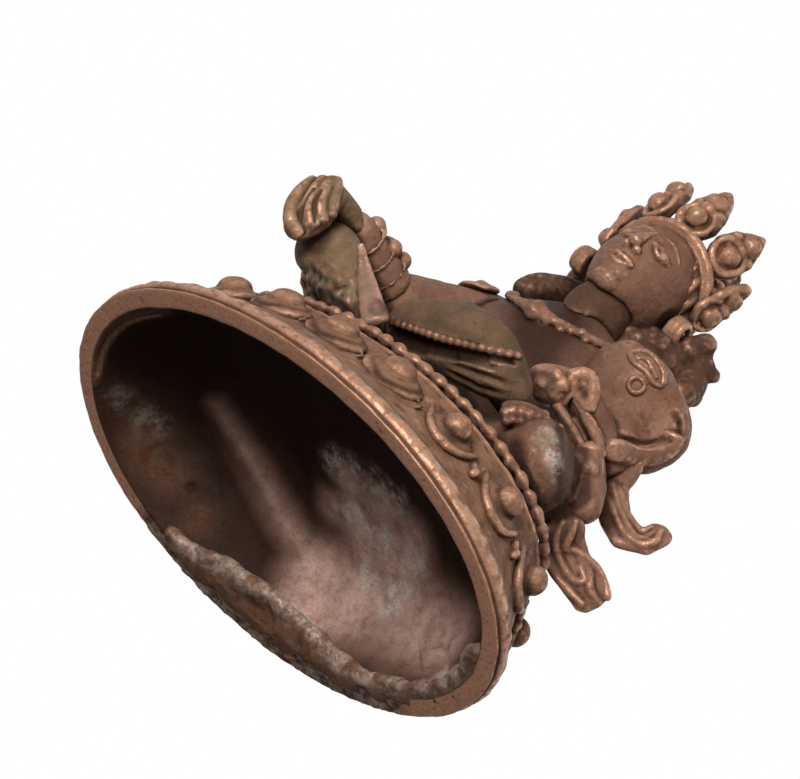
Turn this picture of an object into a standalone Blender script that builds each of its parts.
"""A hollow cast figure, seated at ease on an oval lotus base, as the wax pieces it is built from.

Metres, +Z up, the front towards -Y, the figure's left hand towards +X. The base stands on z = 0.
"""

import math

import bmesh
import bpy
from mathutils import Matrix, Vector

# The clearance that neighbouring pieces keep
GAP = 0.0003

# Base: an oval flared wall with a flat rim, hollow below
RIM_HALF_WIDTH = 0.062
RIM_HALF_DEPTH = 0.042
RIM_HEIGHT = 0.003
RIM_LEDGE = 0.0012
BASE_HEIGHT = 0.024
BASE_FLARE = 0.013
WALL = 0.0042
CEILING = 0.003
# The hollow's rounded ceiling, as rows of rise and extra inset, from the middle out
HOLLOW_ROWS = ((1.0, 0.021), (0.99, 0.013), (0.95, 0.007), (0.86, 0.0025), (0.68, 0.0004), (0.4, 0.0),
               (0.0, 0.0))
# A run of metal left along the back of the ceiling, as two places in plan, its half width and its drop
RUN_START = (-0.041, 0.007)
RUN_END = (-0.003, 0.027)
RUN_HALF_WIDTH = 0.0055
RUN_DROP = 0.0030
BASE_SIDES = 44
BODY_SIDES = 22

# Lotus petals, spaced evenly round the wall, with the back left plain
PETAL_PLACES = 17
PETAL_FIRST_DEG = -86.5
PETAL_BACK_LIMIT = 0.018
PETAL_HALF_WIDTH = 0.0074
PETAL_HALF_HEIGHT = 0.0066
PETAL_THICKNESS = 0.0008
PETAL_RIDGE = 0.0016
PETAL_CENTRE_HEIGHT = 0.0150
KNOB_RADIUS = 0.0027
KNOB_HEIGHT = 0.0034

# The bead ring on the base's upper edge, and the seat inside it
BEAD_COUNT = 56
BEAD_RADIUS = 0.0015
BEAD_NECK = 0.0008
BEAD_RING_INSET = 0.0008
SEAT_THICKNESS = 0.0044
SEAT_INSET = 0.0045

# Body: hips and torso, with a girdle between them
BODY_BACK = 0.004
HIP_HALF_WIDTH = 0.025
HIP_HALF_DEPTH = 0.018
HIP_HEIGHT = 0.020
WAIST_HALF_WIDTH = 0.0140
WAIST_HALF_DEPTH = 0.0100
CHEST_HALF_WIDTH = 0.0190
CHEST_HALF_DEPTH = 0.0110
TORSO_HEIGHT = 0.0375
GIRDLE_HEIGHT = 0.0036
GIRDLE_THICKNESS = 0.0016

# Legs, as places above the seat and radii
LEFT_HIP = (0.013, 0.004, 0.0095)
LEFT_KNEE = (0.040, -0.010, 0.008)
LEFT_SHIN_TIP = (0.0300, -0.0185, 0.0150)
LEFT_CALF = (0.0215, -0.0220, 0.0138)
LEFT_SHIN = (0.0080, -0.0215, 0.0135)
LEFT_ANKLE = (-0.004, -0.0195, 0.011)
LEFT_TOES = (-0.015, -0.0135, 0.0065)
RIGHT_HIP = (-0.013, 0.004, 0.0095)
RIGHT_KNEE = (-0.029, -0.026, 0.013)
RIGHT_ANKLE = (-0.012, -0.0235, 0.0055)
RIGHT_TOES = (-0.003, -0.0285, 0.0035)
HIP_RADIUS = 0.0100
LEFT_KNEE_RADIUS = 0.0095
RIGHT_KNEE_RADIUS = 0.0068
SHIN_RADIUS = 0.0078
ANKLE_RADIUS = 0.0054
FOOT_RADIUS = 0.0040
TOE_RADIUS = 0.0026

# Arms: shoulders as places above the torso's top, the rest above the seat, and radii
LEFT_SHOULDER = (0.0215, 0.0035, -0.0073)
LEFT_ELBOW = (0.0335, 0.002, 0.030)
LEFT_WRIST = (0.0285, -0.0105, 0.028)
LEFT_FINGERS = (0.0190, -0.0120, 0.0250)
RIGHT_SHOULDER = (-0.0195, 0.0060, -0.0078)
RIGHT_ELBOW = (-0.026, -0.009, 0.028)
RIGHT_WRIST = (-0.0305, -0.0275, 0.0215)
RIGHT_KNUCKLES = (-0.0325, -0.0365, 0.0170)
RIGHT_FINGERS = (-0.0285, -0.0355, 0.0050)
SHOULDER_RADIUS = 0.0068
ELBOW_RADIUS = 0.0056
WRIST_RADIUS = 0.0041
HAND_RADIUS = 0.0045
FINGERTIP_RADIUS = 0.0030
HAND_FLAT_SHARE = 0.74
FOREARM_START_SHARE = 0.16
HAND_FACING = (0.0, 1.0, -0.5)
BRACELET_COUNT = 3
BRACELET_FIRST = 0.34
BRACELET_STEP = 0.22
BRACELET_RADIUS = 0.0009
BRACELET_KNOB = 0.0021

# Head, hair and crown, as places above the torso's top before the head is turned
HEAD_TURN_DEG = 12.0
NECK_FOOT = (0.0, 0.0016, -0.0026)
NECK_TOP = (0.0, -0.001, 0.0062)
NECK_RADIUS = 0.0069
HEAD_CENTRE = (0.0, -0.002, 0.0172)
HEAD_HALF_WIDTH = 0.0110
HEAD_HALF_DEPTH = 0.0120
HEAD_HALF_HEIGHT = 0.0145
NOSE_HEIGHT = 0.0022
HAIR_CENTRE = (0.0, 0.0008, 0.0217)
HAIR_HALF_WIDTH = 0.0126
HAIR_HALF_DEPTH = 0.0130
HAIR_HALF_HEIGHT = 0.0126
BUN_CENTRE = (0.0015, 0.0085, 0.0377)
BUN_RADIUS = 0.0068
BUN_HALF_HEIGHT = 0.0098
CROWN_SLOPE_DEG = 32.0
CROWN_RISE = 0.0
CROWN_BAND_RADIUS = 0.0013
LEAF_HALF_WIDTH = 0.0050
LEAF_HALF_HEIGHT = 0.0080
LEAF_THICKNESS = 0.0022
LEAF_BOSS_RADIUS = 0.0025
LEAF_BOSS_HEIGHT = 0.0024
LEAF_RIM_HEIGHT = 0.0009
FRONT_LEAF = (0.0, -0.0125, 0.0357)
FORE_LEAF = (0.0104, -0.0087, 0.0352)
FORE_LEAF_DEG = 44.0
SIDE_LEAF = (0.0152, -0.0010, 0.0270)
EAR_ROSETTE = (0.0142, 0.0004, 0.0147)
ROSETTE_RADIUS = 0.0035
# Locks of hair from the ears to the shoulders, as places above the torso's top
LEFT_LOCK = ((0.0108, 0.0102, 0.0172), (0.0172, 0.0104, 0.0144), (0.0213, 0.0104, 0.0097),
             (0.0235, 0.0096, 0.0042))
RIGHT_LOCK = ((-0.0112, 0.0056, 0.0144), (-0.0142, 0.0046, 0.0107), (-0.0165, 0.0012, 0.0052),
              (-0.0178, 0.0000, 0.0002))
LOCK_RADIUS = 0.0037

# Dress: necklace, armlets, scarf round the arms, its four ends, the stem and the knot
NECKLACE_RADIUS = 0.0012
NECKLACE_END_DEG = 64
PENDANT_RADIUS = 0.0030
ARMLET_RADIUS = 0.0050
ARMLET_THICKNESS = 0.0012
SHAWL_HALF_WIDTH = 0.0028
SHAWL_HALF_THICKNESS = 0.0021
TAIL_HALF_WIDTH = 0.0033
LOWER_TAIL_HALF_WIDTH = 0.0042
TAIL_HALF_THICKNESS = 0.0013
# The shawl's loop as steps from the shoulder, the arm's middle and the elbow, and the upper end as steps
# from the elbow
SHAWL_FROM_SHOULDER = ((0.0040, 0.0060, 0.0073), (0.0120, 0.0045, 0.0013))
SHAWL_FROM_MIDDLE = (0.0105, 0.0038, 0.0036)
SHAWL_FROM_ELBOW = ((0.0035, 0.0030, 0.0048), (0.0020, 0.0020, 0.0010))
TAIL_FROM_ELBOW = ((0.0027, 0.0050, -0.0010), (0.0061, 0.0060, -0.0049), (0.0105, 0.0070, -0.0085),
                   (0.0150, 0.0078, -0.0105), (0.0190, 0.0078, -0.0090), (0.0195, 0.0072, -0.0052))
# The lower ends, as places above the seat
LEFT_LOWER_TAIL = ((0.0425, 0.0035, 0.0085), (0.0435, 0.0085, 0.0078), (0.0470, 0.0130, 0.0072),
                   (0.0515, 0.0162, 0.0072))
RIGHT_LOWER_TAIL = ((-0.0240, 0.0070, 0.0085), (-0.0340, 0.0110, 0.0078), (-0.0430, 0.0140, 0.0072),
                    (-0.0495, 0.0160, 0.0072))
UPPER_TAIL_FACING = (0.0, 1.0, 0.0)
LEFT_LOWER_FACING = (0.6, -0.57, -0.4)
RIGHT_LOWER_FACING = (-0.45, -0.75, -0.4)
RIBBON_RIDGES = 3
RIBBON_RIDGE_DEPTH = 0.30
FINGERS = 4
FINGER_DEPTH = 0.16
STEM_RADIUS = 0.0013
LOTUS_STEM = ((0.0262, -0.0105, 0.0225), (0.0305, -0.0060, 0.0235), (0.0335, -0.0020, 0.0232))
BUD_STEM = ((0.0302, -0.0115, 0.0265), (0.0335, -0.0070, 0.0262), (0.0355, -0.0030, 0.0268))
FOLD = ((0.0340, 0.0010, 0.0240), (0.0385, 0.0018, 0.0185), (0.0425, 0.0025, 0.0130))
FOLD_RADIUS = 0.0042
HEM_BEADS = 13
HEM_RADIUS = 0.0013

# Places worked out from the sizes above
SEAT_TOP = BASE_HEIGHT + GAP + SEAT_THICKNESS
TOP_HALF_WIDTH = RIM_HALF_WIDTH - BASE_FLARE
TOP_HALF_DEPTH = RIM_HALF_DEPTH - BASE_FLARE
BODY_CENTRE = (0.0, BODY_BACK)
TORSO_BOTTOM = SEAT_TOP + HIP_HEIGHT + GAP
TORSO_TOP = TORSO_BOTTOM + TORSO_HEIGHT


# Small helpers for places and curves

def turns(count):
    return [2 * math.pi * i / count for i in range(count)]


def oval(half_width, half_depth, z, sides, centre=(0.0, 0.0)):
    return [
        Vector((centre[0] + half_width * math.cos(t), centre[1] + half_depth * math.sin(t), z))
        for t in turns(sides)
    ]


def above_seat(place):
    return Vector(place) + Vector((0, 0, SEAT_TOP))


def above_torso(place):
    return Vector(place) + Vector((0, 0, TORSO_TOP))


def stepped(start, step, side):
    """A place a step away from another, with the step mirrored where side is -1."""
    return (start[0] + side * step[0], start[1] + step[1], start[2] + step[2])


def mirrored(place):
    return (-place[0], *place[1:])


def blend(a, b, share):
    return tuple(p + (q - p) * share for p, q in zip(a, b))


def limb_points(*stations):
    """(x, y, z, radius) rows from pairs of a place above the seat and a radius."""
    return [(*above_seat(place), radius) for place, radius in stations]


def on_seat(place):
    """A place above the torso's top, counted from the seat instead."""
    return (place[0], place[1], place[2] + TORSO_TOP - SEAT_TOP)


def smooth_path(points, steps):
    """Rows of a curve through the given rows, each with any number of coordinates."""
    ends = [points[0], *points, points[-1]]
    made = []
    for k in range(len(points) - 1):
        before, here, there, after = ends[k:k + 4]
        for i in range(steps):
            t = i / steps
            made.append(tuple(
                0.5 * (2 * h + (n - b) * t + (2 * b - 5 * h + 4 * n - a) * t * t
                       + (3 * h - b - 3 * n + a) * t ** 3)
                for b, h, n, a in zip(before, here, there, after)
            ))
    made.append(tuple(points[-1]))
    return made


# Skins: every piece is a closed skin over rings of points

def mesh_of(name, rings, loop=False, start=None, end=None):
    """A loop joins the last ring to the first. Otherwise the ends close on the points start and end."""
    bm = bmesh.new()
    rows = [[bm.verts.new(point) for point in ring] for ring in rings]
    pairs = list(zip(rows, rows[1:]))
    if loop:
        pairs.append((rows[-1], rows[0]))
    for lower, upper in pairs:
        for i in range(len(lower)):
            j = (i + 1) % len(lower)
            bm.faces.new((lower[i], lower[j], upper[j], upper[i]))
    if not loop:
        for row, tip in ((rows[0], start), (rows[-1], end)):
            pole = bm.verts.new(tip)
            for i in range(len(row)):
                bm.faces.new((row[i], row[(i + 1) % len(row)], pole))
    bmesh.ops.recalc_face_normals(bm, faces=bm.faces)
    if bm.calc_volume(signed=True) < 0:
        bmesh.ops.reverse_faces(bm, faces=bm.faces)
    mesh = bpy.data.meshes.new(name)
    bm.to_mesh(mesh)
    bm.free()
    mesh.shade_smooth()
    mesh.set_sharp_from_angle(angle=math.radians(40))
    return mesh


def section(centre, along, side, half_side, half_other, sides, ridges=0, depth=0.0):
    """An oval ring across a limb. ridges run along the limb on its two faces, and depth is their share of
    half_side. An even count leaves a groove in the middle, and an odd one a ridge."""
    across = (side - along * side.dot(along)).normalized()
    other = along.cross(across)
    sign = 1 if ridges % 2 else -1
    return [
        centre + other * (half_other * math.sin(t))
        + across * (half_side * math.cos(t) * (1 + sign * depth * math.cos(ridges * math.pi * math.sin(t))))
        for t in turns(sides)
    ]


def tube(name, points, grow, side=(0, 0, 1), flat=1.0, sides=12, steps=2, dome=0.7, bends=(45,), ridges=0,
         depth=0.0):
    """A limb through (x, y, z, radius) rows with domed ends. flat is its size across side over its size along
    it, bends are the angles of the rings on each dome, and ridges grow to their depth towards the end."""
    path = smooth_path(points, steps)
    places = [Vector(row[:3]) for row in path]
    last = len(path) - 1
    ways = [
        (places[min(i + 1, last)] - places[max(i - 1, 0)]).normalized() for i in range(len(path))
    ]
    reach = [dome * (path[i][3] * flat + grow) for i in (0, last)]
    domes = [(math.cos(math.radians(bend)), math.sin(math.radians(bend))) for bend in bends]

    def ring(i, share, shift):
        half = (path[i][3] + grow) * share
        thin = (path[i][3] * flat + grow) * share
        deep = depth * min(1.0, 2 * i / last)
        return section(places[i] + ways[i] * shift, ways[i], Vector(side), half, thin, sides, ridges, deep)

    rings = [ring(0, narrow, -reach[0] * out) for narrow, out in reversed(domes)]
    rings += [ring(i, 1.0, 0.0) for i in range(len(path))]
    rings += [ring(last, narrow, reach[1] * out) for narrow, out in domes]
    start = places[0] - ways[0] * reach[0]
    end = places[last] + ways[last] * reach[1]
    return mesh_of(name, rings, start=start, end=end)


def closed_tube(name, places, radii, grow, sides=6):
    """A ring-shaped tube through a closed run of places."""
    count = len(places)
    middle = sum(places, Vector()) / count
    rings = []
    for i in range(count):
        along = (places[(i + 1) % count] - places[i - 1]).normalized()
        half = radii[i] + grow
        rings.append(section(places[i], along, places[i] - middle, half, half, sides))
    return mesh_of(name, rings, loop=True)


def ellipsoid(name, centre, halves, grow, sides=14, bands=7, shaped=None):
    """A ball of three half sizes. shaped(place, across, up) may move a point before it is used."""
    a, b, c = (half + grow for half in halves)
    rings = []
    for k in range(1, bands + 1):
        up = math.pi * (k / (bands + 1) - 0.5)
        ring = []
        for t in turns(sides):
            place = Vector((a * math.cos(up) * math.cos(t), b * math.cos(up) * math.sin(t), c * math.sin(up)))
            ring.append(centre + (shaped(place, t, math.sin(up)) if shaped else place))
        rings.append(ring)
    poles = [Vector((0, 0, -c)), Vector((0, 0, c))]
    if shaped:
        poles = [shaped(pole, 0.0, sign) for pole, sign in zip(poles, (-1, 1))]
    return mesh_of(name, rings, start=centre + poles[0], end=centre + poles[1])


def ornament(name, place, outline, boss_radius, boss_height, plate, rim, back, sides=10):
    """A dished plate with a round boss in its middle and a raised rim. place(s, t, height) puts a point of
    the plate on its carrier, and outline(turn) gives the plate's edge."""

    def ring(share, height):
        row = []
        for turn in turns(sides):
            s, t = blend(
                (boss_radius * math.sin(turn), boss_radius * math.cos(turn)), outline(turn), share
            )
            row.append(place(s, t, height))
        return row

    def boss_ring(share, height):
        return [
            place(share * boss_radius * math.sin(turn), share * boss_radius * math.cos(turn), height)
            for turn in turns(sides)
        ]

    rings = [
        boss_ring(0.6, plate + (boss_height - plate) * 0.8), ring(0.0, plate), ring(0.55, plate),
        ring(0.85, rim),
        ring(1.0, plate), ring(1.0, back), ring(0.4, back),
    ]
    return mesh_of(name, rings, start=place(0, 0, boss_height), end=place(0, 0, back))


def drop_outline(half_width, half_height):
    """A leaf's edge: pointed at the end that t grows towards and round at the other."""
    def edge(turn):
        return (
            half_width * 1.2 * math.sin(turn) * math.sin(turn / 2) ** 0.7, half_height * math.cos(turn)
        )
    return edge


def round_outline(radius):
    return lambda turn: (radius * math.sin(turn), radius * math.cos(turn))


# Base

def wall_inset(z):
    share = max(0.0, (z - RIM_HEIGHT) / (BASE_HEIGHT - RIM_HEIGHT))
    return RIM_LEDGE + (BASE_FLARE - RIM_LEDGE) * share


def wall_point(turn, z):
    inset = wall_inset(z)
    return Vector((
        (RIM_HALF_WIDTH - inset) * math.cos(turn), (RIM_HALF_DEPTH - inset) * math.sin(turn), z
    ))


def with_run(place, ceiling):
    """A place of the hollow's skin, let down where the run of metal crosses it."""
    start, end = Vector(RUN_START), Vector(RUN_END)
    way = end - start
    share = max(0.0, min(1.0, (place.xy - start).dot(way) / way.length_squared))
    off = (place.xy - start - way * share).length / RUN_HALF_WIDTH
    return place - Vector((0, 0, RUN_DROP * math.exp(-off ** 2) * place.z / ceiling))


def base_shell(name, grow):
    """The flared wall with its rim, closed above and hollow below with a rounded ceiling."""
    ceiling = BASE_HEIGHT - CEILING
    rings = []
    for rise, inset in HOLLOW_ROWS:
        z = ceiling * rise
        inner = wall_inset(z) * (z > 0) + WALL + inset
        skin = oval(RIM_HALF_WIDTH - inner, RIM_HALF_DEPTH - inner, z, BASE_SIDES)
        rings.append([with_run(Vector(place), ceiling) for place in skin])
    sizes = (
        (0.0, 0.0), (0.0, RIM_HEIGHT), (RIM_LEDGE, RIM_HEIGHT), (BASE_FLARE, BASE_HEIGHT)
    )
    for inset, z in sizes:
        rings.append(oval(RIM_HALF_WIDTH - inset, RIM_HALF_DEPTH - inset, z, BASE_SIDES))
    return mesh_of(name, rings, start=Vector((0, 0, ceiling)), end=Vector((0, 0, BASE_HEIGHT)))


def even_turns(count, first, fine=720):
    """Turns round the wall at petal height that are evenly spaced along it."""
    marks = [wall_point(first + t, PETAL_CENTRE_HEIGHT) for t in turns(fine)]
    runs = [0.0]
    for a, b in zip(marks, marks[1:] + marks[:1]):
        runs.append(runs[-1] + (b - a).length)
    found = []
    for k in range(count):
        wanted = runs[-1] * k / count
        index = next(i for i in range(fine) if runs[i + 1] > wanted)
        part = (wanted - runs[index]) / (runs[index + 1] - runs[index])
        found.append(first + 2 * math.pi * (index + part) / fine)
    return found


def petal(name, turn):
    step = 0.01
    ahead = wall_point(turn + step, PETAL_CENTRE_HEIGHT)
    speed = (ahead - wall_point(turn, PETAL_CENTRE_HEIGHT)).length / step
    fall = math.atan2(BASE_FLARE - RIM_LEDGE, BASE_HEIGHT - RIM_HEIGHT)

    def place(s, t, height):
        angle = turn + s / speed
        z = PETAL_CENTRE_HEIGHT - t * math.cos(fall)
        here = wall_point(angle, z)
        round_way = wall_point(angle + step, z) - here
        up_way = wall_point(angle, z + step * BASE_HEIGHT) - here
        return here + round_way.cross(up_way).normalized() * height

    outline = drop_outline(PETAL_HALF_WIDTH, PETAL_HALF_HEIGHT)
    return ornament(
        name, place, outline, KNOB_RADIUS, GAP + KNOB_HEIGHT, GAP + PETAL_THICKNESS, GAP + PETAL_RIDGE, GAP
    )


def bead_ring(name, grow):
    rings_per_bead = 2
    count = BEAD_COUNT * rings_per_bead
    z = BASE_HEIGHT + GAP + BEAD_RADIUS
    places = oval(TOP_HALF_WIDTH - BEAD_RING_INSET, TOP_HALF_DEPTH - BEAD_RING_INSET, z, count)
    radii = [BEAD_NECK if i % rings_per_bead == 0 else BEAD_RADIUS for i in range(count)]
    return closed_tube(name, places, radii, grow)


def seat_pad(name, grow):
    bottom = BASE_HEIGHT + GAP
    half_width = TOP_HALF_WIDTH - SEAT_INSET
    half_depth = TOP_HALF_DEPTH - SEAT_INSET
    rounding = SEAT_THICKNESS / 4
    rings = [
        oval(half_width - rounding, half_depth - rounding, bottom, BASE_SIDES),
        oval(half_width, half_depth, bottom + rounding, BASE_SIDES),
        oval(half_width, half_depth, SEAT_TOP - rounding, BASE_SIDES),
        oval(half_width - rounding, half_depth - rounding, SEAT_TOP, BASE_SIDES),
    ]
    return mesh_of(name, rings, start=Vector((0, 0, bottom)), end=Vector((0, 0, SEAT_TOP)))


def seat_room(name, grow):
    """Everything under the seat's top, as room that the legs keep out of."""
    top = SEAT_TOP + GAP
    rings = [oval(RIM_HALF_WIDTH, RIM_HALF_DEPTH, z, BASE_SIDES) for z in (BASE_HEIGHT / 2, top)]
    return mesh_of(name, rings, start=Vector((0, 0, BASE_HEIGHT / 2)), end=Vector((0, 0, top)))


# Body



def hips(name, grow):
    bottom = SEAT_TOP + GAP
    top = SEAT_TOP + HIP_HEIGHT
    waist = (WAIST_HALF_WIDTH + GIRDLE_THICKNESS, WAIST_HALF_DEPTH + GIRDLE_THICKNESS)
    widest = (HIP_HALF_WIDTH, HIP_HALF_DEPTH)
    swell = ((0.0, 0.94), (0.3, 1.0), (0.65, 0.72), (1.0, 0.0))
    rings = []
    for rise, share in swell:
        a, b = blend(waist, widest, share)
        rings.append(oval(a + grow, b + grow, bottom + (top - bottom) * rise, BODY_SIDES, BODY_CENTRE))
    caps = [Vector((*BODY_CENTRE, z)) for z in (bottom, top)]
    return mesh_of(name, rings, start=caps[0], end=caps[1])


# The torso's outline, as rows of rise, half width, half depth and forward shift
TORSO_ROWS = (
    (0.00, WAIST_HALF_WIDTH * 1.04, WAIST_HALF_DEPTH * 1.04, 0.0),
    (0.18, WAIST_HALF_WIDTH, WAIST_HALF_DEPTH, 0.0008),
    (0.40, (WAIST_HALF_WIDTH + CHEST_HALF_WIDTH) / 2, CHEST_HALF_DEPTH * 0.97, 0.0018),
    (0.62, CHEST_HALF_WIDTH, CHEST_HALF_DEPTH, 0.0020),
    (0.79, CHEST_HALF_WIDTH * 1.05, CHEST_HALF_DEPTH * 0.88, 0.0010),
    (0.89, CHEST_HALF_WIDTH * 0.92, CHEST_HALF_DEPTH * 0.76, 0.0005),
    (0.96, CHEST_HALF_WIDTH * 0.64, CHEST_HALF_DEPTH * 0.66, 0.0010),
    (1.00, CHEST_HALF_WIDTH * 0.38, CHEST_HALF_DEPTH * 0.56, 0.0015),
)


def torso_row(rise):
    for lower, upper in zip(TORSO_ROWS, TORSO_ROWS[1:]):
        if rise <= upper[0]:
            return blend(lower, upper, (rise - lower[0]) / (upper[0] - lower[0]))
    return TORSO_ROWS[-1]


def torso_point(turn, rise, lift):
    _, a, b, forward = torso_row(rise)
    return Vector((
        (a + lift) * math.cos(turn), BODY_BACK - forward + (b + lift) * math.sin(turn),
        TORSO_BOTTOM + TORSO_HEIGHT * rise + lift * max(0.0, 4 * rise - 3),
    ))


def torso_ring(rise, lift):
    return [torso_point(t, rise, lift) for t in turns(BODY_SIDES)]


def torso(name, grow):
    top = Vector((0, BODY_BACK, TORSO_TOP + GAP + grow))
    rings = [torso_ring(row[0], grow) for row in TORSO_ROWS]
    return mesh_of(name, rings, start=Vector((0, BODY_BACK, TORSO_BOTTOM)), end=top)


def girdle(name, grow):
    rises = [(GAP + GIRDLE_HEIGHT * share) / TORSO_HEIGHT for share in (0.0, 0.5, 1.0)]
    lifts = [GIRDLE_THICKNESS * 0.7, GIRDLE_THICKNESS, GIRDLE_THICKNESS * 0.7]
    rings = [torso_ring(rise, GAP + lift) for rise, lift in zip(rises, lifts)]
    rings += [torso_ring(rise, GAP) for rise in reversed(rises)]
    return mesh_of(name, rings, loop=True)


# Legs

def left_thigh(name, grow):
    middle = blend(LEFT_HIP, LEFT_KNEE, 0.5)
    radius = (HIP_RADIUS + LEFT_KNEE_RADIUS) / 2
    points = limb_points((LEFT_HIP, HIP_RADIUS), (middle, radius), (LEFT_KNEE, LEFT_KNEE_RADIUS))
    return tube(name, points, grow, sides=14, dome=0.95, bends=(32, 64))


def left_shin_points():
    return limb_points(
        (LEFT_SHIN_TIP, SHIN_RADIUS * 0.45), (LEFT_CALF, SHIN_RADIUS * 0.96), (LEFT_SHIN, SHIN_RADIUS),
        (LEFT_ANKLE, ANKLE_RADIUS),
    )


def left_shin(name, grow):
    return tube(name, left_shin_points(), grow)


def left_foot(name, grow):
    points = limb_points((LEFT_ANKLE, FOOT_RADIUS), (LEFT_TOES, TOE_RADIUS))
    return tube(name, points, grow, sides=10)


def right_thigh(name, grow):
    middle = blend(RIGHT_HIP, RIGHT_KNEE, 0.55)
    radius = (HIP_RADIUS + RIGHT_KNEE_RADIUS) / 2
    end = blend(RIGHT_HIP, RIGHT_KNEE, 0.9)
    points = limb_points((RIGHT_HIP, HIP_RADIUS), (middle, radius), (end, RIGHT_KNEE_RADIUS))
    return tube(name, points, grow)


def right_shin(name, grow):
    middle = blend(RIGHT_KNEE, RIGHT_ANKLE, 0.55)
    radius = (RIGHT_KNEE_RADIUS + ANKLE_RADIUS) / 2
    points = limb_points((RIGHT_KNEE, RIGHT_KNEE_RADIUS), (middle, radius), (RIGHT_ANKLE, ANKLE_RADIUS))
    return tube(name, points, grow, dome=0.95, bends=(32, 64))


def right_foot(name, grow):
    points = limb_points((RIGHT_ANKLE, FOOT_RADIUS), (RIGHT_TOES, TOE_RADIUS))
    return tube(name, points, grow, sides=10)


def shin_hem(name, grow):
    """The beaded edge of the skirt along the left shin's lower front."""
    steps_per_span = 12
    path = smooth_path(left_shin_points(), steps_per_span)
    used = path[steps_per_span // 2:-2]
    down_front = Vector((0, -0.8, -0.6))
    count = 2 * HEM_BEADS
    points = []
    for i in range(count + 1):
        x, y, z, radius = used[round(i * (len(used) - 1) / count)]
        place = Vector((x, y, z)) + down_front * (radius + HEM_RADIUS * 0.6)
        points.append((*place, HEM_RADIUS if i % 2 else HEM_RADIUS * 0.6))
    return tube(name, points, grow, sides=6, steps=1)


# Arms

def left_upper_arm(name, grow):
    points = limb_points((on_seat(LEFT_SHOULDER), SHOULDER_RADIUS), (LEFT_ELBOW, ELBOW_RADIUS))
    return tube(name, points, grow, dome=0.95)


def left_forearm(name, grow):
    start = blend(LEFT_ELBOW, LEFT_WRIST, FOREARM_START_SHARE)
    points = limb_points((start, ELBOW_RADIUS * 0.92), (LEFT_WRIST, WRIST_RADIUS))
    return tube(name, points, grow)


def left_hand(name, grow):
    middle = blend(LEFT_WRIST, LEFT_FINGERS, 0.5)
    points = limb_points(
        (LEFT_WRIST, WRIST_RADIUS), (middle, HAND_RADIUS), (LEFT_FINGERS, FINGERTIP_RADIUS)
    )
    return tube(name, points, grow, flat=0.85, sides=10)


def right_upper_arm(name, grow):
    points = limb_points((on_seat(RIGHT_SHOULDER), SHOULDER_RADIUS), (RIGHT_ELBOW, ELBOW_RADIUS))
    return tube(name, points, grow, dome=0.95)


def right_forearm(name, grow):
    start = blend(RIGHT_ELBOW, RIGHT_WRIST, FOREARM_START_SHARE)
    points = limb_points((start, ELBOW_RADIUS * 0.95), (RIGHT_WRIST, WRIST_RADIUS))
    return tube(name, points, grow)


def right_hand(name, grow):
    points = limb_points(
        (RIGHT_WRIST, WRIST_RADIUS), (RIGHT_KNUCKLES, HAND_RADIUS),
        (blend(RIGHT_KNUCKLES, RIGHT_FINGERS, 0.6), HAND_RADIUS), (RIGHT_FINGERS, FINGERTIP_RADIUS),
    )
    flat = 1 / HAND_FLAT_SHARE
    points = [(*row[:3], row[3] * HAND_FLAT_SHARE) for row in points]
    return tube(name, points, grow, side=HAND_FACING, flat=flat, sides=20, ridges=FINGERS, depth=FINGER_DEPTH)


def bracelet(name, share):
    """A thin ring round the right forearm with a round knob on its upper side."""
    ring_sides = 14
    start, end = above_seat(RIGHT_ELBOW), above_seat(RIGHT_WRIST)
    along = (end - start).normalized()
    arm_radius = blend((ELBOW_RADIUS * 0.95,), (WRIST_RADIUS,), share)[0]
    centre = start.lerp(end, share)
    knob_way = Vector((0.1, -0.35, 1.0))
    places = section(centre, along, knob_way, arm_radius + GAP, arm_radius + GAP, ring_sides)
    radii = [BRACELET_RADIUS] * ring_sides
    radii[0] = BRACELET_KNOB
    radii[1] = radii[-1] = BRACELET_KNOB * 0.7
    return closed_tube(name, places, radii, 0.0)


def armlet(name, shoulder, elbow, front):
    """A leaf with a boss, bent round the front of an upper arm."""
    start, end = above_torso(shoulder), above_seat(elbow)
    along = (end - start).normalized()
    out = (Vector(front) - along * Vector(front).dot(along)).normalized()
    across = along.cross(out)
    share = 0.16
    centre = start.lerp(end, share)
    radius = blend((SHOULDER_RADIUS,), (ELBOW_RADIUS,), share)[0] + GAP

    def place(s, t, height):
        angle = s / radius
        way = out * math.cos(angle) + across * math.sin(angle)
        return centre - along * t + way * (radius + height)

    outline = drop_outline(ARMLET_RADIUS, ARMLET_RADIUS * 1.1)
    boss = LEAF_BOSS_RADIUS * 0.7
    return ornament(
        name, place, outline, boss, GAP + ARMLET_THICKNESS * 2, GAP + ARMLET_THICKNESS * 0.6,
        GAP + ARMLET_THICKNESS, GAP,
    )


# Head and crown

def with_head(mesh):
    """Turns a mesh about the head's upright axis, towards the figure's left."""
    axis_foot = Vector((HEAD_CENTRE[0], HEAD_CENTRE[1], 0))
    turn = Matrix.Rotation(math.radians(HEAD_TURN_DEG), 4, "Z")
    mesh.transform(Matrix.Translation(axis_foot) @ turn @ Matrix.Translation(-axis_foot))
    return mesh


def neck(name, grow):
    foot = above_torso(NECK_FOOT)
    points = [(*foot, NECK_RADIUS * 1.08), (*above_torso(NECK_TOP), NECK_RADIUS)]
    return tube(name, points, grow)


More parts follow.
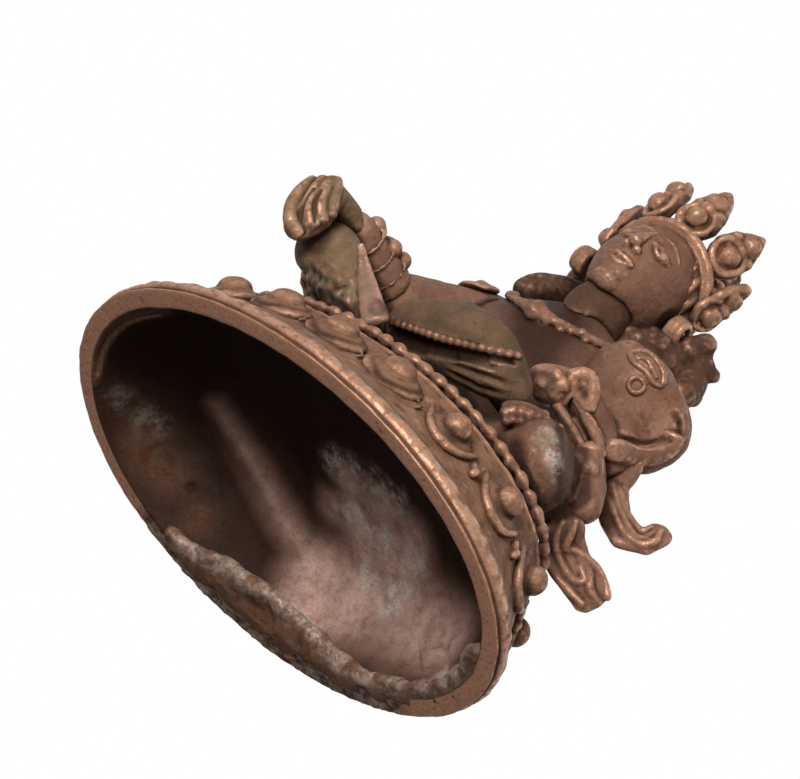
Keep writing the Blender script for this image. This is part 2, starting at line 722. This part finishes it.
def head(name, grow):
    halves = (HEAD_HALF_WIDTH, HEAD_HALF_DEPTH, HEAD_HALF_HEIGHT)

    def shaped(place, turn, up):
        """Narrows the jaw, brings the chin forward and raises the bridge of the nose."""
        low = max(0.0, -up)
        place.x *= 1 - 0.30 * low ** 1.5
        place.y -= HEAD_HALF_DEPTH * 0.22 * low
        if abs(math.sin(turn) + 1) < 1e-6:
            place.y -= NOSE_HEIGHT * math.exp(-((up + 0.10) / 0.22) ** 2)
        return place

    centre = above_torso(HEAD_CENTRE)
    return with_head(ellipsoid(name, centre, halves, grow, sides=16, bands=9, shaped=shaped))


def hair(name, grow):
    halves = (HAIR_HALF_WIDTH, HAIR_HALF_DEPTH, HAIR_HALF_HEIGHT)
    return with_head(ellipsoid(name, above_torso(HAIR_CENTRE), halves, grow, sides=16))


def hair_bun(name, grow):
    halves = (BUN_RADIUS, BUN_RADIUS, BUN_HALF_HEIGHT)
    return with_head(ellipsoid(name, above_torso(BUN_CENTRE), halves, grow, sides=12, bands=6))


def crown_place(turn, lift):
    """A point of the sloping ring where the crown sits on the hair: high in front, low at the ears."""
    centre = above_torso(HAIR_CENTRE)
    slope = math.tan(math.radians(CROWN_SLOPE_DEG))
    start = Vector((0, 0, CROWN_RISE))
    way = Vector((math.cos(turn), math.sin(turn), -slope * math.sin(turn)))
    sizes = Vector((HAIR_HALF_WIDTH + lift, HAIR_HALF_DEPTH + lift, HAIR_HALF_HEIGHT + lift))
    p = Vector(a / b for a, b in zip(start, sizes))
    q = Vector(a / b for a, b in zip(way, sizes))
    run = (-p.dot(q) + math.sqrt(p.dot(q) ** 2 - q.dot(q) * (p.dot(p) - 1))) / q.dot(q)
    return centre + start + way * run


def crown_band(name, grow):
    count = 24
    places = [crown_place(t, CROWN_BAND_RADIUS * 0.7) for t in turns(count)]
    return with_head(closed_tube(name, places, [CROWN_BAND_RADIUS] * count, grow))


def crown_leaf(name, stand, turn_deg):
    """A pointed leaf with a boss that stands on the crown band."""
    centre = above_torso(stand)
    foot = crown_place(math.radians(turn_deg), CROWN_BAND_RADIUS)
    up = (centre - foot).normalized()
    outward = Vector((math.cos(math.radians(turn_deg)), math.sin(math.radians(turn_deg)), 0))
    out = (outward - up * outward.dot(up)).normalized()
    across = up.cross(out)

    def place(s, t, height):
        return centre + across * s + up * t + out * height

    outline = drop_outline(LEAF_HALF_WIDTH, LEAF_HALF_HEIGHT)
    return ornament(
        name, place, outline, LEAF_BOSS_RADIUS, LEAF_BOSS_HEIGHT, 0.0, LEAF_RIM_HEIGHT, -LEAF_THICKNESS
    )


def ear_rosette(name, stand):
    centre = above_torso(stand)
    out = Vector((math.copysign(1, stand[0]), 0, 0))
    across = Vector((0, 1, 0))
    up = out.cross(across)

    def place(s, t, height):
        return centre + across * s + up * t + out * height

    return ornament(
        name, place, round_outline(ROSETTE_RADIUS), LEAF_BOSS_RADIUS * 0.6, LEAF_BOSS_HEIGHT * 0.7, 0.0,
        LEAF_RIM_HEIGHT, -LEAF_THICKNESS,
    )


def lock(name, route):
    shares = (0.8, 1.0, 1.0, 0.8)
    points = [(*above_torso(place), LOCK_RADIUS * share) for place, share in zip(route, shares)]
    return tube(name, points, 0.0, sides=8)


# Dress

def necklace(name, grow):
    """A cord of metal over the chest, from shoulder to shoulder, swelling into a pendant."""
    stations = 16
    points = []
    for i in range(stations + 1):
        share = i / stations
        turn = math.radians(NECKLACE_END_DEG * (1 - 2 * share) - 90)
        drop = math.sin(math.pi * share) ** 1.4
        rise = 0.88 - 0.25 * drop
        middle = abs(i - stations // 2)
        radius = {0: PENDANT_RADIUS, 1: PENDANT_RADIUS * 0.6}.get(middle, NECKLACE_RADIUS)
        points.append((*torso_point(turn, rise, NECKLACE_RADIUS * 0.6), radius))
    return tube(name, points, grow, sides=8, steps=1)


def shawl(name, shoulder, elbow, side, grow):
    """The scarf's loop on one arm, standing off it between the shoulder and the elbow."""
    upper = on_seat(shoulder)
    route = [stepped(upper, step, side) for step in SHAWL_FROM_SHOULDER]
    route.append(stepped(blend(upper, elbow, 0.5), SHAWL_FROM_MIDDLE, side))
    route += [stepped(elbow, step, side) for step in SHAWL_FROM_ELBOW]
    points = limb_points(*((place, SHAWL_HALF_WIDTH) for place in route))
    flat = SHAWL_HALF_THICKNESS / SHAWL_HALF_WIDTH
    return tube(name, points, grow, side=(0, 1, 0), flat=flat, sides=10)


def left_shawl(name, grow):
    return shawl(name, LEFT_SHOULDER, LEFT_ELBOW, 1, grow)


def right_shawl(name, grow):
    return shawl(name, RIGHT_SHOULDER, RIGHT_ELBOW, -1, grow)


def upper_tail(elbow, side):
    return [stepped(elbow, step, side) for step in TAIL_FROM_ELBOW]


def scarf_end(name, route, half_width, facing):
    """A flat ribbon end. facing is the way that its thickness is measured."""
    points = limb_points(*((place, TAIL_HALF_THICKNESS) for place in route))
    flat = half_width / TAIL_HALF_THICKNESS
    return tube(name, points, 0.0, side=facing, flat=flat, sides=16, steps=1, dome=0.5, ridges=RIBBON_RIDGES,
                depth=RIBBON_RIDGE_DEPTH)


def stem(name, route, grow):
    return tube(name, limb_points(*((place, STEM_RADIUS) for place in route)), grow, sides=8)


def lotus_stem(name, grow):
    return stem(name, LOTUS_STEM, grow)


def bud_stem(name, grow):
    return stem(name, BUD_STEM, grow)


def scarf_fold(name, grow):
    """The hanging fold of the scarf between the left elbow and the thigh."""
    shares = (0.75, 1.0, 0.95)
    points = limb_points(*((place, FOLD_RADIUS * share) for place, share in zip(FOLD, shares)))
    return tube(name, points, grow, flat=0.8, sides=10)


# Finishes: name, base colour, roughness
FINISHES = {
    "base_copper": ((0.20, 0.125, 0.090), 0.55),
    "rubbed_copper": ((0.33, 0.20, 0.145), 0.48),
    "limb_copper": ((0.24, 0.155, 0.115), 0.55),
    "olive_patina": ((0.19, 0.155, 0.095), 0.62),
    "dark_copper": ((0.15, 0.095, 0.075), 0.60),
}


def finish(name):
    material = bpy.data.materials.get(name)
    if material:
        return material
    colour, roughness = FINISHES[name]
    material = bpy.data.materials.new(name)
    material.use_nodes = True
    shader = material.node_tree.nodes["Principled BSDF"]
    shader.inputs["Base Color"].default_value = (*colour, 1.0)
    shader.inputs["Metallic"].default_value = 0.75
    shader.inputs["Roughness"].default_value = roughness
    return material


# Assembly: each piece with its skin, its finish and the neighbours that it is cut clear of

BODY_PIECES = (
    ("base_shell", base_shell, "base_copper", ()),
    ("bead_ring", bead_ring, "rubbed_copper", ()),
    ("seat_pad", seat_pad, "dark_copper", ()),
    ("hips", hips, "limb_copper", ()),
    ("torso", torso, "limb_copper", ()),
    ("girdle", girdle, "rubbed_copper", ()),
    ("left_thigh", left_thigh, "limb_copper", ("seat_room", "hips")),
    ("right_thigh", right_thigh, "limb_copper", ("seat_room", "hips", "left_thigh")),
    ("left_shin", left_shin, "olive_patina", ("seat_room", "hips", "left_thigh", "right_thigh")),
    ("right_shin", right_shin, "olive_patina", ("seat_room", "right_thigh", "left_shin")),
    ("left_foot", left_foot, "olive_patina", ("seat_room", "hips", "right_thigh", "left_shin", "right_shin")),
    ("right_foot", right_foot, "olive_patina", ("seat_room", "right_shin", "left_shin", "left_foot")),
    ("shin_hem", shin_hem, "rubbed_copper", ("left_shin", "left_foot", "right_shin", "left_thigh")),
    ("left_upper_arm", left_upper_arm, "limb_copper", ("torso",)),
    ("right_upper_arm", right_upper_arm, "limb_copper", ("torso",)),
    ("left_forearm", left_forearm, "limb_copper", ("left_upper_arm", "torso")),
    ("right_forearm", right_forearm, "limb_copper", ("right_upper_arm", "right_thigh", "right_shin")),
    ("left_hand", left_hand, "rubbed_copper", ("left_forearm", "torso", "hips")),
    ("right_hand", right_hand, "olive_patina", ("right_forearm", "right_thigh", "right_shin")),
    ("neck", neck, "limb_copper", ("torso",)),
    ("head", head, "limb_copper", ("neck", "torso")),
    ("hair", hair, "dark_copper", ("head", "neck", "torso")),
    ("hair_bun", hair_bun, "dark_copper", ("hair", "head")),
    ("crown_band", crown_band, "rubbed_copper", ("hair",)),
    ("necklace", necklace, "rubbed_copper", ("torso", "neck", "left_upper_arm", "right_upper_arm")),
    ("scarf_fold", scarf_fold, "limb_copper", ("left_upper_arm", "left_forearm", "left_thigh", "hips")),
    ("lotus_stem", lotus_stem, "limb_copper", ("left_hand", "left_forearm", "left_upper_arm", "scarf_fold")),
    ("bud_stem", bud_stem, "limb_copper",
     ("left_hand", "left_forearm", "left_upper_arm", "scarf_fold", "lotus_stem")),
    ("left_shawl", left_shawl, "limb_copper", ("torso", "left_upper_arm", "left_forearm", "scarf_fold")),
    ("right_shawl", right_shawl, "limb_copper", ("torso", "right_upper_arm", "right_forearm")),
)

SCARF_ENDS = (
    ("left_upper_scarf_end", upper_tail(LEFT_ELBOW, 1), TAIL_HALF_WIDTH, UPPER_TAIL_FACING,
     ("left_shawl", "left_upper_arm", "left_forearm", "scarf_fold")),
    ("left_lower_scarf_end", LEFT_LOWER_TAIL, LOWER_TAIL_HALF_WIDTH, LEFT_LOWER_FACING,
     ("seat_room", "left_thigh", "scarf_fold")),
    ("right_upper_scarf_end", upper_tail(RIGHT_ELBOW, -1), TAIL_HALF_WIDTH, UPPER_TAIL_FACING,
     ("right_shawl", "right_upper_arm", "right_forearm")),
    ("right_lower_scarf_end", RIGHT_LOWER_TAIL, LOWER_TAIL_HALF_WIDTH, RIGHT_LOWER_FACING,
     ("seat_room", "right_thigh", "hips")),
)

CROWN_LEAVES = (
    ("crown_leaf_front", FRONT_LEAF, -90),
    ("crown_leaf_left_fore", FORE_LEAF, -FORE_LEAF_DEG),
    ("crown_leaf_left_side", SIDE_LEAF, 0),
    ("crown_leaf_right_fore", mirrored(FORE_LEAF), FORE_LEAF_DEG - 180),
    ("crown_leaf_right_side", mirrored(SIDE_LEAF), 180),
)

HAIR_LOCKS = (
    ("left_hair_lock", LEFT_LOCK, ("hair", "head", "crown_band", "torso", "left_shawl", "left_upper_arm")),
    ("right_hair_lock", RIGHT_LOCK,
     ("hair", "head", "crown_band", "torso", "right_shawl", "right_upper_arm")),
)

LEAF_NEIGHBOURS = ("crown_band", "hair", "head", "hair_bun")
EAR_NEIGHBOURS = ("hair", "head", "crown_band")
BRACELET_NEIGHBOURS = ("right_forearm", "right_thigh", "right_shin", "right_upper_arm")


def petal_turns():
    places = even_turns(PETAL_PLACES, math.radians(PETAL_FIRST_DEG))
    return [turn for turn in places if wall_point(turn, PETAL_CENTRE_HEIGHT).y < PETAL_BACK_LIMIT]


def ornaments():
    """The pieces that only lie on others: name, mesh, finish and neighbours."""
    made = []
    for name, route, half_width, facing, neighbours in SCARF_ENDS:
        made.append((name, scarf_end(name, route, half_width, facing), "limb_copper", neighbours))
    for i, turn in enumerate(petal_turns()):
        name = f"lotus_petal_{i + 1:02d}"
        made.append((name, petal(name, turn), "base_copper", ()))
    for i in range(BRACELET_COUNT):
        name = f"bracelet_{i + 1}"
        share = BRACELET_FIRST + BRACELET_STEP * i
        made.append((name, bracelet(name, share), "rubbed_copper", BRACELET_NEIGHBOURS))
    for name, place, turn in CROWN_LEAVES:
        made.append((name, with_head(crown_leaf(name, place, turn)), "rubbed_copper", LEAF_NEIGHBOURS))
    for side, turned in (("left", tuple), ("right", mirrored)):
        name = side + "_ear_rosette"
        rosette = with_head(ear_rosette(name, turned(EAR_ROSETTE)))
        made.append((name, rosette, "rubbed_copper", EAR_NEIGHBOURS))
    for name, route, near in HAIR_LOCKS:
        made.append((name, lock(name, route), "dark_copper", near))
    left = armlet("left_armlet", LEFT_SHOULDER, LEFT_ELBOW, (0.3, -1, 0))
    right = armlet("right_armlet", RIGHT_SHOULDER, RIGHT_ELBOW, (-0.5, -0.8, 0.3))
    made.append(("left_armlet", left, "rubbed_copper", ()))
    made.append(("right_armlet", right, "rubbed_copper", ()))
    return made


def add_object(name, mesh, root):
    obj = bpy.data.objects.new(name, mesh)
    obj.parent = root
    bpy.context.collection.objects.link(obj)
    return obj


def add_room(name, skin, root):
    """A hidden grown copy of a piece, as the room that its neighbours leave for it."""
    room = add_object("room_" + name, skin("room_" + name, GAP), root)
    room.hide_render = True
    room.display_type = "WIRE"
    return room


def add_piece(name, mesh, finish_name, neighbours, rooms, root):
    obj = add_object(name, mesh, root)
    mesh.materials.append(finish(finish_name))
    for neighbour in neighbours:
        cut = obj.modifiers.new("clear_" + neighbour, "BOOLEAN")
        cut.operation = "DIFFERENCE"
        cut.solver = "EXACT"
        cut.object = rooms[neighbour]


def main():
    for obj in list(bpy.data.objects):
        bpy.data.objects.remove(obj)
    root = bpy.data.objects.new("figure", None)
    bpy.context.collection.objects.link(root)
    pieces = [(name, skin(name, 0.0), look, near) for name, skin, look, near in BODY_PIECES]
    pieces += ornaments()
    skins = {name: skin for name, skin, _, _ in BODY_PIECES}
    skins["seat_room"] = seat_room
    wanted = sorted({neighbour for piece in pieces for neighbour in piece[3]})
    rooms = {name: add_room(name, skins[name], root) for name in wanted}
    for name, mesh, look, neighbours in pieces:
        add_piece(name, mesh, look, neighbours, rooms, root)
    print("OK", len(pieces), "pieces")


main()
